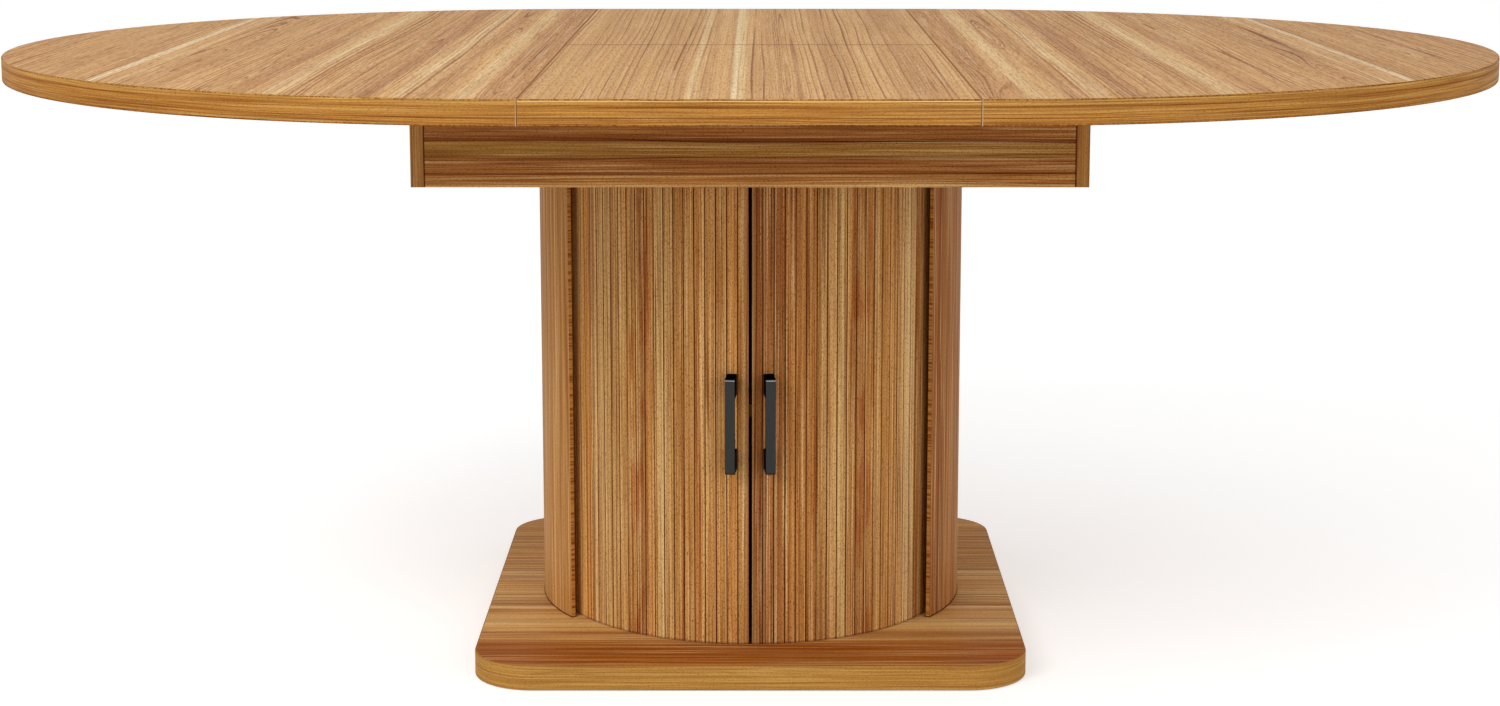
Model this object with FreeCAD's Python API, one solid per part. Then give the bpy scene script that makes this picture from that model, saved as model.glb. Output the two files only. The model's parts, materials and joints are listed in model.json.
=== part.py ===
"""Extending pedestal table: round top in two sliding halves, a folding leaf between them,
a leaf store inside the apron, and a drum-shaped cabinet with two tambour doors.

Millimetres. X runs along the extended top, the doors face -Y, Z is up.
The origin is on the floor under the middle of the table.
"""
import FreeCAD, Part
import math
import os

Vector = FreeCAD.Vector
UP = Vector(0, 0, 1)
DOWN = Vector(0, 0, -1)

# ---- Table top and leaf ----------------------------------------------------------
table_height = 750.0
top_radius = 700.0             # each half is half of this disc
top_board = 28.0               # thickness of the halves and of the leaf
leaf_width = 478.0
band_thickness = 1.5           # edge band glued round every exposed board edge
edge_round = 1.0               # softened outer edge of the bands
seam_gap = 0.4                 # between the leaf and each half
seam_chamfer = 0.4
fold_gap = 0.5                 # between the two halves of the leaf

# ---- Folding leaf hinges (barrel hinges let into the fold) -----------------------
barrel_diameter = 16.0
barrel_length = 20.0
barrel_depth = 10.0            # barrel axis below the top surface
barrel_spacing = 165.0
link_radius = 10.25            # middle of the curved link, about the fold axis
link_thickness = 3.0
link_width = 4.0
link_half_angle = 60.0
link_clearance = 0.3

# ---- Boards and fasteners --------------------------------------------------------
carcass_board = 16.0
floor_board = 18.0             # floor of the leaf store, also the cabinet's ceiling
back_board = 8.0
hole_clearance = 0.05          # radial, round every fastener
screw_shank = 4.0
screw_head = 8.0
screw_sink = 2.6

# ---- Base ------------------------------------------------------------------------
base_length = 677.0
base_depth = 704.0
base_corner = 76.0
base_board = 30.0
glide_diameter = 30.0
glide_thickness = 4.0
glide_proud = 1.0
glide_inset = 62.0

# ---- Drum shells -----------------------------------------------------------------
shell_radius = 274.0
shell_thickness = 5.0
shell_front_angle = 56.3       # from the front, where each shell begins
shell_housing = 5.0            # depth of the housing grooves
shell_seam = 0.2
joint_strip_width = 60.0
joint_strip_thickness = 8.0

# ---- Tambour doors ---------------------------------------------------------------
door_radius = 252.0            # outer face of the slats
door_centre_y = -12.0          # centre of the curved tracks
slat_thickness = 7.5
slat_angle = 3.06
slat_count = 22
slat_gap = 0.25
slat_chamfer = 0.9
slat_end_gap = 0.5             # above the base and under the ceiling
meeting_gap = 4.0
door_travel = 50.0             # degrees round the track
tongue_thickness = 5.0
track_depth = 6.0
track_clearance = 0.5
track_lift = 0.3
track_end_angle = 1.0
canvas_thickness = 1.0
canvas_margin = 3.0
batten_thickness = 6.0
batten_slats = 3
batten_margin = 30.0
stop_clearance = 0.5

# ---- Door handles ----------------------------------------------------------------
handle_length = 119.0
handle_bottom = 252.5          # above the floor
handle_width = 12.0
handle_bar = 5.5
handle_leg = 26.0              # height of each foot
handle_projection = 30.0
handle_bend = 3.0
handle_inner_bend = 2.0
handle_edge = 0.8
handle_hole_spacing = 96.0
handle_slat = 1                # index of the slat that carries it
handle_screw_depth = 12.0

# ---- Cabinet ---------------------------------------------------------------------
cabinet_width = 352.0          # clear width between the uprights
carcass_clearance = 2.5        # between the doors' battens and the carcass
shelf_height = 283.0           # underside of the shelf above the base
shelf_clearance = 0.5
shelf_front_setback = 3.0
shelf_pin_diameter = 5.0
shelf_pin_length = 18.0
shelf_pin_hole = 9.0
shelf_pin_inset = 45.0
shelf_pin_pitch = 32.0
shelf_pin_rows = 5
carcass_screw_length = 75.0
carcass_screw_inset = 35.0

# ---- Apron and leaf store --------------------------------------------------------
apron_length = 787.0
apron_height = 107.7
underside_gap = 0.3            # between the apron and what slides or lies on it
store_end_clearance = 2.0      # round the folded leaf, front and back
store_side_clearance = 6.0     # round the folded leaf, left and right
corner_block_size = 30.0
corner_block_height = 60.0
corner_screw_length = 40.0
rail_screw_length = 50.0
rail_screw_spacing = 400.0

# ---- Slides ----------------------------------------------------------------------
over_travel = 25.0             # outward, past the leaf, to free it
runner_spacing = 400.0
runner_depth = 22.7            # from the underside of the top to the runner's sole
runner_outer_reach = 560.0     # from the seam outwards
foot_width = 28.4
foot_height = 10.0
web_width = 12.0
run_clearance = 0.3
web_clearance = 0.5
guide_wall = 2.5
guide_floor = 2.0
guide_lip = 2.5
runner_screw_length = 40.0
runner_screw_pitch = 150.0
runner_screw_count = 4
guide_screw_length = 30.0
stop_plate = 3.0
stop_screw_length = 16.0
tab_reach = 22.0               # under the edge of the leaf
tab_length = 132.0
tab_width = 120.0
tab_screw_length = 30.0
tab_screw_inset = 20.0
peg_diameter = 8.0
peg_engagement = 6.0
peg_offset = 35.0              # in front of the fold
peg_clearance = 0.3
peg_root = 10.0

# ---- Heights and places worked out from the sizes above --------------------------
top_underside = table_height - top_board
apron_top = top_underside - underside_gap
apron_bottom = apron_top - apron_height
floor_top = apron_bottom + floor_board
base_top = glide_proud + base_board
half_leaf = leaf_width / 2
seam_x = half_leaf + seam_gap
fold_axis_z = table_height + fold_gap / 2
apron_depth = top_radius + 2 * store_end_clearance + 2 * carcass_board
inner_x = apron_length / 2 - carcass_board
inner_y = apron_depth / 2 - carcass_board
rail_x = half_leaf + store_side_clearance
runner_bottom = top_underside - runner_depth
guide_bottom = runner_bottom - run_clearance - guide_floor
guide_height = guide_floor + foot_height + 2 * run_clearance + guide_lip
guide_width = foot_width + 2 * run_clearance + 2 * guide_wall
runner_inner_x = rail_x - over_travel - stop_clearance
slat_inner = door_radius - slat_thickness
canvas_inner = slat_inner - canvas_thickness
batten_inner = canvas_inner - batten_thickness
carcass_radius = batten_inner - carcass_clearance
track_middle = door_radius - slat_thickness / 2
track_half = tongue_thickness / 2 + track_clearance
door_start = math.degrees(meeting_gap / 2 / door_radius)
door_end = door_start + slat_count * slat_angle
track_end = door_end + door_travel + track_end_angle
upright_inner = cabinet_width / 2
upright_outer = upright_inner + carcass_board
upright_reach = math.sqrt(carcass_radius ** 2 - upright_outer ** 2)
upright_front = door_centre_y - upright_reach
upright_back = door_centre_y + upright_reach
back_front = upright_back - back_board
shelf_underside = base_top + shelf_height
shell_inner = shell_radius - shell_thickness


# ---- Shapes used again and again -------------------------------------------------
def block(x_low, x_high, y_low, y_high, z_low, z_high):
    corner = Vector(x_low, y_low, z_low)
    return Part.makeBox(x_high - x_low, y_high - y_low, z_high - z_low, corner)


def polar(radius, angle, centre_y):
    """A point at an angle in degrees from the front, turning towards +X."""
    turn = math.radians(angle)
    return Vector(radius * math.sin(turn), centre_y - radius * math.cos(turn), 0)


def prism(edges, z_low, z_high):
    """A closed outline drawn at Z = 0, raised between two heights."""
    face = Part.Face(Part.Wire(edges))
    face.translate(Vector(0, 0, z_low))
    return face.extrude(Vector(0, 0, z_high - z_low))


def curved_board(r_in, r_out, start, end, z_low, z_high, centre_y=0.0):
    """A board bent about a vertical axis on the table's middle plane."""
    middle = (start + end) / 2
    outer = [polar(r_out, angle, centre_y) for angle in (start, middle, end)]
    inner = [polar(r_in, angle, centre_y) for angle in (end, middle, start)]
    edges = [
        Part.Arc(*outer).toShape(),
        Part.makeLine(outer[2], inner[0]),
        Part.Arc(*inner).toShape(),
        Part.makeLine(inner[2], outer[0]),
    ]
    return prism(edges, z_low, z_high)


def rounded_plate(length, depth, corner, z_low, z_high):
    plate = block(-length / 2, length / 2, -depth / 2, depth / 2, z_low, z_high)
    upright_edges = [edge for edge in plate.Edges if is_vertical(edge)]
    return plate.makeFillet(corner, upright_edges)


def is_vertical(edge):
    ends = [vertex.Point for vertex in edge.Vertexes]
    return len(ends) == 2 and (ends[0] - ends[1]).cross(UP).Length < 1e-6


def mirrored(shape):
    """The same piece on the other side of the table."""
    return shape.mirror(Vector(0, 0, 0), Vector(1, 0, 0))


def cut_all(shape, tools):
    return shape.cut(Part.makeCompound(tools))


def screw(point, direction, length, spare=0.0):
    """Countersunk screw with its head's face at the point; spare widens it into its hole."""
    head = Part.makeCone(screw_head / 2 + spare, screw_shank / 2 + spare, screw_sink, point, direction)
    shank = Part.makeCylinder(screw_shank / 2 + spare, length + spare, point, direction)
    return head.fuse(shank).removeSplitter()


def screw_hole(point, direction, length):
    return screw(point, direction, length, hole_clearance)


def screws_at(points, direction, length):
    return Part.makeCompound([screw(point, direction, length) for point in points])


def holes_at(points, direction, length):
    return [screw_hole(point, direction, length) for point in points]


# ---- Base ------------------------------------------------------------------------
def track_groove(z_low, z_high):
    """The curved groove that guides the tongues of both doors."""
    return curved_board(track_middle - track_half, track_middle + track_half,
                        -track_end, track_end, z_low, z_high, door_centre_y)


def shell_groove(z_low, z_high):
    """One housing for both shells, open at neither end."""
    end_spare = math.degrees(hole_clearance / shell_radius)
    return curved_board(shell_inner - hole_clearance, shell_radius + hole_clearance,
                        shell_front_angle - end_spare, 360 - shell_front_angle + end_spare,
                        z_low, z_high)


def upright_screw_points(z):
    rows = (upright_front + carcass_screw_inset, door_centre_y, upright_back - carcass_screw_inset)
    middle = (upright_inner + upright_outer) / 2
    return [Vector(side * middle, y, z) for side in (-1, 1) for y in rows]


def glide_points(z):
    reach_x = base_length / 2 - glide_inset
    reach_y = base_depth / 2 - glide_inset
    return [Vector(side * reach_x, y, z) for side in (-1, 1) for y in (-reach_y, 0, reach_y)]


def build_base(parts):
    core_length = base_length - 2 * band_thickness
    core_depth = base_depth - 2 * band_thickness
    core = rounded_plate(core_length, core_depth, base_corner - band_thickness, glide_proud, base_top)
    outline = rounded_plate(base_length, base_depth, base_corner, glide_proud, base_top)
    seats = [
        Part.makeCylinder(glide_diameter / 2, glide_thickness - glide_proud, point, UP)
        for point in glide_points(glide_proud)
    ]
    grooves = [
        track_groove(base_top - track_depth, base_top),
        shell_groove(base_top - shell_housing, base_top),
    ]
    holes = holes_at(upright_screw_points(glide_proud), UP, carcass_screw_length)
    parts["base_plate"] = cut_all(core, seats + grooves + holes)
    rim = [edge for edge in outline.Edges if not is_vertical(edge)]
    parts["base_edge_band"] = outline.makeFillet(edge_round, rim).cut(core)
    parts["base_glides"] = Part.makeCompound([
        Part.makeCylinder(glide_diameter / 2, glide_thickness, point, UP)
        for point in glide_points(0)
    ])
    parts["base_screws"] = screws_at(upright_screw_points(glide_proud), UP, carcass_screw_length)


# ---- Drum ------------------------------------------------------------------------
def build_shells(parts):
    back_angle = 180 - math.degrees(shell_seam / 2 / shell_radius)
    shell = curved_board(shell_inner, shell_radius, shell_front_angle, back_angle,
                         base_top - shell_housing, apron_bottom + shell_housing)
    parts["right_shell"] = shell
    parts["left_shell"] = mirrored(shell)
    half_strip = math.degrees(joint_strip_width / 2 / shell_inner)
    parts["shell_joint_strip"] = curved_board(
        shell_inner - joint_strip_thickness, shell_inner,
        180 - half_strip, 180 + half_strip, base_top, apron_bottom)


# ---- Cabinet inside the drum -----------------------------------------------------
def shelf_pin_points():
    pin_z = shelf_underside - shelf_pin_diameter / 2
    rows = (upright_front + shelf_pin_inset, back_front - shelf_pin_inset)
    return [Vector(upright_inner, y, pin_z) for y in rows]


def build_cabinet(parts):
    upright = block(upright_inner, upright_outer, upright_front, upright_back, base_top, apron_bottom)
    pin_holes = []
    for point in shelf_pin_points():
        for row in range(shelf_pin_rows):
            rise = (row - (shelf_pin_rows - 1) / 2) * shelf_pin_pitch
            start = point + Vector(0, 0, rise)
            pin_holes.append(Part.makeCylinder(
                shelf_pin_diameter / 2 + hole_clearance, shelf_pin_hole, start, Vector(1, 0, 0)))
    screw_holes = holes_at(upright_screw_points(glide_proud), UP, carcass_screw_length)
    screw_holes += holes_at(upright_screw_points(floor_top), DOWN, carcass_screw_length)
    upright = cut_all(upright, pin_holes + screw_holes)
    parts["right_upright"] = upright
    parts["left_upright"] = mirrored(upright)

    parts["cabinet_back"] = block(-upright_inner, upright_inner, back_front, upright_back,
                                  base_top, apron_bottom)

    shelf = block(-upright_inner + shelf_clearance, upright_inner - shelf_clearance,
                  door_centre_y - door_radius, back_front - shelf_clearance,
                  shelf_underside, shelf_underside + carcass_board)
    front = Part.makeCylinder(carcass_radius - shelf_front_setback, carcass_board,
                              Vector(0, door_centre_y, shelf_underside), UP)
    parts["shelf"] = shelf.common(front)

    pins = []
    for point in shelf_pin_points():
        start = point + Vector(shelf_pin_hole, 0, 0)
        pin = Part.makeCylinder(shelf_pin_diameter / 2, shelf_pin_length, start, Vector(-1, 0, 0))
        pins += [pin, mirrored(pin)]
    parts["shelf_pins"] = Part.makeCompound(pins)


# ---- Apron, leaf store and slide guides ------------------------------------------
def rail_screw_points():
    middle = rail_x + carcass_board / 2
    rows = (-rail_screw_spacing / 2, rail_screw_spacing / 2)
    return [Vector(side * middle, y, apron_bottom) for side in (-1, 1) for y in rows]


def guide_screw_points():
    rows = (-runner_spacing / 2, runner_spacing / 2)
    across = (rail_x + carcass_board / 2, inner_x + carcass_board / 2)
    return [Vector(x, y, guide_bottom + guide_floor) for x in across for y in rows]


def slide_guide(y):
    """A lipped channel from the cross rail out through the end of the apron."""
    half = guide_width / 2
    x_low = rail_x
    x_high = inner_x + carcass_board
    body = block(x_low, x_high, y - half, y + half, guide_bottom, guide_bottom + guide_height)
    cavity_half = foot_width / 2 + run_clearance
    cavity_low = guide_bottom + guide_floor
    cavity_high = guide_bottom + guide_height - guide_lip
    cavity = block(x_low, x_high, y - cavity_half, y + cavity_half, cavity_low, cavity_high)
    slot_half = web_width / 2 + web_clearance
    slot = block(x_low, x_high, y - slot_half, y + slot_half, cavity_low, guide_bottom + guide_height)
    return body.cut(cavity.fuse(slot))


def corner_block_pieces():
    """One block and its two screws, for the corner at +X, +Y."""
    low_x = inner_x - corner_block_size
    low_y = inner_y - corner_block_size
    high_z = floor_top + corner_block_height
    body = block(low_x, inner_x, low_y, inner_y, floor_top, high_z)
    half = corner_block_size / 2
    along_x = (Vector(low_x, low_y + half, floor_top + corner_block_height / 3), Vector(1, 0, 0))
    along_y = (Vector(low_x + half, low_y, floor_top + 2 * corner_block_height / 3), Vector(0, 1, 0))
    screws = [screw(point, way, corner_screw_length) for point, way in (along_x, along_y)]
    holes = [screw_hole(point, way, corner_screw_length) for point, way in (along_x, along_y)]
    return body, screws, holes


def four_corners(shape):
    """Copies of a piece in all four corners of the apron."""
    back = [shape, mirrored(shape)]
    front = [piece.mirror(Vector(0, 0, 0), Vector(0, 1, 0)) for piece in back]
    return back + front


def build_apron(parts):
    half_length = apron_length / 2
    half_depth = apron_depth / 2
    corner_body, corner_screws, corner_holes = corner_block_pieces()
    all_corner_holes = [copy for hole in corner_holes for copy in four_corners(hole)]

    rail = block(-inner_x, inner_x, inner_y, half_depth, apron_bottom, apron_top)
    back = cut_all(rail, all_corner_holes)
    parts["apron_back"] = back
    parts["apron_front"] = back.mirror(Vector(0, 0, 0), Vector(0, 1, 0))

    end = block(inner_x, half_length, -half_depth, half_depth, apron_bottom, apron_top)
    notches = [
        block(inner_x, half_length, y - guide_width / 2, y + guide_width / 2, guide_bottom, apron_top)
        for y in (-runner_spacing / 2, runner_spacing / 2)
    ]
    guide_holes = holes_at(guide_screw_points(), DOWN, guide_screw_length)
    end = cut_all(end, notches + guide_holes + all_corner_holes)
    parts["apron_right"] = end
    parts["apron_left"] = mirrored(end)

    store_floor = block(-inner_x, inner_x, -inner_y, inner_y, apron_bottom, floor_top)
    cuts = [
        track_groove(apron_bottom, apron_bottom + track_depth),
        shell_groove(apron_bottom, apron_bottom + shell_housing),
    ]
    cuts += holes_at(upright_screw_points(floor_top), DOWN, carcass_screw_length)
    cuts += holes_at(rail_screw_points(), UP, rail_screw_length)
    parts["store_floor"] = cut_all(store_floor, cuts)
    parts["floor_screws"] = screws_at(upright_screw_points(floor_top), DOWN, carcass_screw_length)

    cross_rail = block(rail_x, rail_x + carcass_board, -inner_y, inner_y, floor_top, guide_bottom)
    rail_holes = holes_at(rail_screw_points(), UP, rail_screw_length)
    cross_rail = cut_all(cross_rail, guide_holes + rail_holes)
    parts["right_cross_rail"] = cross_rail
    parts["left_cross_rail"] = mirrored(cross_rail)
    parts["rail_screws"] = screws_at(rail_screw_points(), UP, rail_screw_length)

    block_with_holes = cut_all(corner_body, corner_holes)
    parts["corner_blocks"] = Part.makeCompound(four_corners(block_with_holes))
    parts["corner_screws"] = Part.makeCompound(
        [copy for item in corner_screws for copy in four_corners(item)])

    guides = []
    for y in (-runner_spacing / 2, runner_spacing / 2):
        guide = cut_all(slide_guide(y), guide_holes)
        guides += [guide, mirrored(guide)]
    parts["slide_guides"] = Part.makeCompound(guides)
    guide_screws = [screw(point, DOWN, guide_screw_length) for point in guide_screw_points()]
    parts["guide_screws"] = Part.makeCompound(guide_screws + [mirrored(item) for item in guide_screws])


# ---- Tambour doors ---------------------------------------------------------------
def slat_outline(r_in, r_out, chamfer, side_gap):
    """Section of a slat standing at the front of the track, tapered to its neighbours."""
    slope = math.tan(math.radians(slat_angle / 2))
    inner = r_in * slope - side_gap / 2
    outer = r_out * slope - side_gap / 2
    points = [
        Vector(-inner, -r_in, 0),
        Vector(inner, -r_in, 0),
        Vector(outer, -r_out + chamfer, 0),
        Vector(outer - chamfer, -r_out, 0),
        Vector(chamfer - outer, -r_out, 0),
        Vector(-outer, -r_out + chamfer, 0),
    ]
    return Part.makePolygon(points + points[:1]).Edges


def slat(index):
    """One slat with the tongues that ride in the tracks."""
    low = base_top + slat_end_gap
    high = apron_bottom - slat_end_gap
    body = prism(slat_outline(slat_inner, door_radius, slat_chamfer, slat_gap), low, high)
    tongue_in = track_middle - tongue_thickness / 2
    tongue_out = track_middle + tongue_thickness / 2
    tongue_low = base_top - track_depth + track_lift
    tongue_high = apron_bottom + track_depth - track_lift
    tongue = prism(slat_outline(tongue_in, tongue_out, slat_chamfer, 2 * slat_gap), tongue_low, tongue_high)
    piece = body.fuse(tongue)
    piece.rotate(Vector(0, 0, 0), UP, door_start + (index + 0.5) * slat_angle)
    piece.translate(Vector(0, door_centre_y, 0))
    return piece


def handle_frame():
    """Angle and outward direction of the handle's middle line."""
    angle = door_start + (handle_slat + 0.5) * slat_angle
    return angle, polar(1.0, angle, 0.0)


def handle_screw_points():
    angle, _ = handle_frame()
    middle = handle_bottom + handle_length / 2
    foot = polar(batten_inner, angle, door_centre_y)
    return [foot + Vector(0, 0, middle + side * handle_hole_spacing / 2) for side in (-1, 1)]


def handle():
    """A flat bar bent into a bow, standing on the door's face."""
    half = handle_width / 2
    top = handle_bottom + handle_length
    bow = block(-half, half, -door_radius - handle_projection, -door_radius, handle_bottom, top)
    outer_bends = [
        edge for edge in bow.Edges
        if abs(edge.CenterOfMass.y + door_radius + handle_projection) < 1e-6
        and abs(edge.Vertexes[0].Point.z - edge.Vertexes[-1].Point.z) < 1e-6
    ]
    bow = bow.makeFillet(handle_bend, outer_bends)
    hollow = block(-half, half, -door_radius - handle_projection + handle_bar, -door_radius,
                   handle_bottom + handle_leg, top - handle_leg)
    inner_bends = [
        edge for edge in hollow.Edges
        if abs(edge.CenterOfMass.y + door_radius + handle_projection - handle_bar) < 1e-6
        and abs(edge.Vertexes[0].Point.z - edge.Vertexes[-1].Point.z) < 1e-6
    ]
    hollow = hollow.makeFillet(handle_inner_bend, inner_bends)
    bow = bow.cut(hollow)
    rims = [edge for edge in bow.Edges if abs(abs(edge.CenterOfMass.x) - half) < 1e-6]
    rims = [edge for edge in rims if edge.CenterOfMass.y < -door_radius - handle_edge]
    bow = bow.makeFillet(handle_edge, rims)
    angle, _ = handle_frame()
    bow.rotate(Vector(0, 0, 0), UP, angle)
    bow.translate(Vector(0, door_centre_y, 0))
    return bow


def build_door(parts, side, place):
    """Right door as built here; place mirrors it for the left."""
    _, outward = handle_frame()
    reach = door_radius - batten_inner + handle_screw_depth
    holes = holes_at(handle_screw_points(), outward, reach)

    slats = [slat(index) for index in range(slat_count)]
    slats[handle_slat] = cut_all(slats[handle_slat], holes)
    parts[side + "_door_slats"] = place(Part.makeCompound(slats))

    canvas = curved_board(canvas_inner, slat_inner, door_start + slat_angle / 2,
                          door_end - slat_angle / 2, base_top + canvas_margin,
                          apron_bottom - canvas_margin, door_centre_y)
    parts[side + "_door_canvas"] = place(cut_all(canvas, holes))

    batten = curved_board(batten_inner, canvas_inner, door_start + slat_angle / 2,
                          door_start + batten_slats * slat_angle, base_top + batten_margin,
                          apron_bottom - batten_margin, door_centre_y)
    parts[side + "_door_batten"] = place(cut_all(batten, holes))
    parts[side + "_handle"] = place(cut_all(handle(), holes))
    parts[side + "_handle_screws"] = place(screws_at(handle_screw_points(), outward, reach))


def build_centre_stops(parts):
    """Rubber blocks in the tracks, where the two doors meet."""
    half = meeting_gap / 2 - track_clearance
    y_low = door_centre_y - track_middle - tongue_thickness / 2
    y_high = door_centre_y - track_middle + tongue_thickness / 2
    lower = block(-half, half, y_low, y_high, base_top - track_depth, base_top)
    upper = block(-half, half, y_low, y_high, apron_bottom, apron_bottom + track_depth)
    parts["centre_stops"] = Part.makeCompound([lower, upper])


# ---- Sliding halves of the top ---------------------------------------------------
def half_disc(radius, x_from):
    """The part of the right half's disc that lies beyond a plane across X."""
    disc = Part.makeCylinder(radius, top_board, Vector(seam_x, 0, top_underside), UP)
    keep = block(x_from, seam_x + 2 * radius, -radius, radius, top_underside, table_height)
    return disc.common(keep)


def runner(y):
    """T-shaped rail screwed under the top; its inner end also carries the leaf's edge."""
    x_low = runner_inner_x
    x_high = seam_x + runner_outer_reach
    foot_top = runner_bottom + foot_height
    foot = block(x_low, x_high, y - foot_width / 2, y + foot_width / 2, runner_bottom, foot_top)
    web = block(x_low, x_high, y - web_width / 2, y + web_width / 2, foot_top, top_underside)
    relief = block(x_low, seam_x, y - web_width / 2, y + web_width / 2, apron_top, top_underside)
    return foot.fuse(web).cut(relief).removeSplitter()


def runner_screw_points():
    rows = (-runner_spacing / 2, runner_spacing / 2)
    first = seam_x + runner_outer_reach - (runner_screw_count - 0.5) * runner_screw_pitch
    across = [first + step * runner_screw_pitch for step in range(runner_screw_count)]
    return [Vector(x, y, runner_bottom) for x in across for y in rows]


def stop_screw_points():
    middle = runner_bottom + foot_height / 2
    rows = (-runner_spacing / 2, runner_spacing / 2)
    return [Vector(runner_inner_x - stop_plate, y, middle) for y in rows]


def tab_screw_points():
    x_low = seam_x + tab_screw_inset
    x_high = half_leaf - tab_reach + tab_length - tab_screw_inset
    half = tab_width / 2 - tab_screw_inset
    bottom = top_underside - carcass_board
    return [Vector(x, y, bottom) for x in (x_low, x_high) for y in (-half, half)]


def peg_point():
    return Vector(half_leaf - tab_reach / 2, -peg_offset, apron_top)


def build_half(parts, side, place):
    """Right half as built here; place mirrors it for the left."""
    core = half_disc(top_radius - band_thickness, seam_x + band_thickness)
    runner_holes = holes_at(runner_screw_points(), UP, runner_screw_length)
    tab_holes = holes_at(tab_screw_points(), UP, tab_screw_length)
    parts[side + "_top_board"] = place(cut_all(core, runner_holes + tab_holes))

    rim = half_disc(top_radius, seam_x + band_thickness)
    curved = [edge for edge in rim.Edges if isinstance(edge.Curve, Part.Circle)]
    rim = rim.makeFillet(edge_round, curved).cut(core)
    seam = block(seam_x, seam_x + band_thickness, -top_radius, top_radius, top_underside, table_height)
    corners = [edge for edge in seam.Edges if is_vertical(edge) and edge.CenterOfMass.x < seam_x + 1e-6]
    seam = seam.makeFillet(edge_round, corners)
    crest = [
        edge for edge in seam.Edges
        if abs(edge.CenterOfMass.z - table_height) < 1e-6 and edge.CenterOfMass.x < seam_x + 1e-6
    ]
    seam = seam.makeChamfer(seam_chamfer, crest)
    parts[side + "_top_bands"] = place(Part.makeCompound([rim, seam]))

    rows = (-runner_spacing / 2, runner_spacing / 2)
    stop_holes = [
        screw_hole(point, Vector(1, 0, 0), stop_screw_length) for point in stop_screw_points()
    ]
    runners = [cut_all(runner(y), runner_holes + stop_holes) for y in rows]
    parts[side + "_runners"] = place(Part.makeCompound(runners))
    parts[side + "_runner_screws"] = place(screws_at(runner_screw_points(), UP, runner_screw_length))

    plates = []
    for y in rows:
        plate = block(runner_inner_x - stop_plate, runner_inner_x, y - guide_width / 2,
                      y + guide_width / 2, runner_bottom, runner_bottom + foot_height)
        plates.append(cut_all(plate, stop_holes))
    stop_screws = [
        screw(point, Vector(1, 0, 0), stop_screw_length) for point in stop_screw_points()
    ]
    parts[side + "_runner_stops"] = place(Part.makeCompound(plates + stop_screws))

    tab_inner = half_leaf - tab_reach
    tab_bottom = top_underside - carcass_board
    tab = block(tab_inner, tab_inner + tab_length, -tab_width / 2, tab_width / 2, tab_bottom, top_underside)
    relief = block(tab_inner, seam_x, -tab_width / 2, tab_width / 2, apron_top, top_underside)
    socket = Part.makeCylinder(peg_diameter / 2 + hole_clearance, peg_root, peg_point(), DOWN)
    parts[side + "_leaf_rest"] = place(cut_all(tab, [relief, socket] + tab_holes))
    parts[side + "_leaf_rest_screws"] = place(screws_at(tab_screw_points(), UP, tab_screw_length))
    peg_base = peg_point() - Vector(0, 0, peg_root)
    peg = Part.makeCylinder(peg_diameter / 2, peg_root + peg_engagement, peg_base, UP)
    parts[side + "_leaf_peg"] = place(peg)


# ---- Folding leaf ----------------------------------------------------------------
def peg_slots():
    """Slots in the underside of the leaf, open at its edges so the halves can draw away."""
    point = peg_point()
    half = peg_diameter / 2 + peg_clearance
    top = top_underside + peg_engagement + peg_clearance
    slot = block(point.x, half_leaf, point.y - half, point.y + half, top_underside, top)
    end = Part.makeCylinder(half, top - top_underside, Vector(point.x, point.y, top_underside), UP)
    right = slot.fuse(end)
    return [right, mirrored(right)]


def barrel_axes():
    return [Vector(step * barrel_spacing, 0, table_height - barrel_depth) for step in (-1, 0, 1)]


def barrel_seats(direction):
    """Drilled holes for one side's hinge barrels."""
    start = Vector(0, fold_gap / 2 * direction, 0)
    way = Vector(0, direction, 0)
    radius = barrel_diameter / 2 + hole_clearance
    return [Part.makeCylinder(radius, barrel_length, axis + start, way) for axis in barrel_axes()]


def link_arc(axis, spare):
    """Curved link about the fold axis; spare widens it into its slot."""
    half = math.radians(link_half_angle + math.degrees(spare / link_radius))
    r_in = link_radius - link_thickness / 2 - spare
    r_out = link_radius + link_thickness / 2 + spare

    def at(radius, turn):
        return Vector(0, radius * math.sin(turn), fold_axis_z - radius * math.cos(turn))

    outer = [at(r_out, turn) for turn in (-half, 0, half)]
    inner = [at(r_in, turn) for turn in (half, 0, -half)]
    wire = Part.Wire([
        Part.Arc(*outer).toShape(),
        Part.makeLine(outer[2], inner[0]),
        Part.Arc(*inner).toShape(),
        Part.makeLine(inner[2], outer[0]),
    ])
    face = Part.Face(wire)
    width = link_width + 2 * spare
    face.translate(Vector(axis.x - width / 2, 0, 0))
    return face.extrude(Vector(width, 0, 0))


def hinge_barrels(direction):
    barrels = []
    for axis in barrel_axes():
        start = axis + Vector(0, fold_gap / 2 * direction, 0)
        barrel = Part.makeCylinder(barrel_diameter / 2, barrel_length, start, Vector(0, direction, 0))
        barrels.append(barrel.cut(link_arc(axis, link_clearance)))
    return Part.makeCompound(barrels)


def leaf_bands():
    """Edge bands of the front half: outer edge, both seams and the fold."""
    front = block(-half_leaf, half_leaf, -top_radius, -top_radius + band_thickness,
                  top_underside, table_height)
    outer = [edge for edge in front.Edges if abs(edge.CenterOfMass.y + top_radius) < 1e-6]
    front = front.makeFillet(edge_round, outer)
    fold_y = -fold_gap / 2
    seam = block(half_leaf - band_thickness, half_leaf, -top_radius + band_thickness, fold_y,
                 top_underside, table_height)
    crest = [
        edge for edge in seam.Edges
        if abs(edge.CenterOfMass.z - table_height) < 1e-6 and edge.CenterOfMass.x > half_leaf - 1e-6
    ]
    seam = seam.makeChamfer(seam_chamfer, crest)
    fold = block(-half_leaf + band_thickness, half_leaf - band_thickness,
                 fold_y - band_thickness, fold_y, top_underside, table_height)
    return [front, seam, mirrored(seam), fold]


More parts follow.
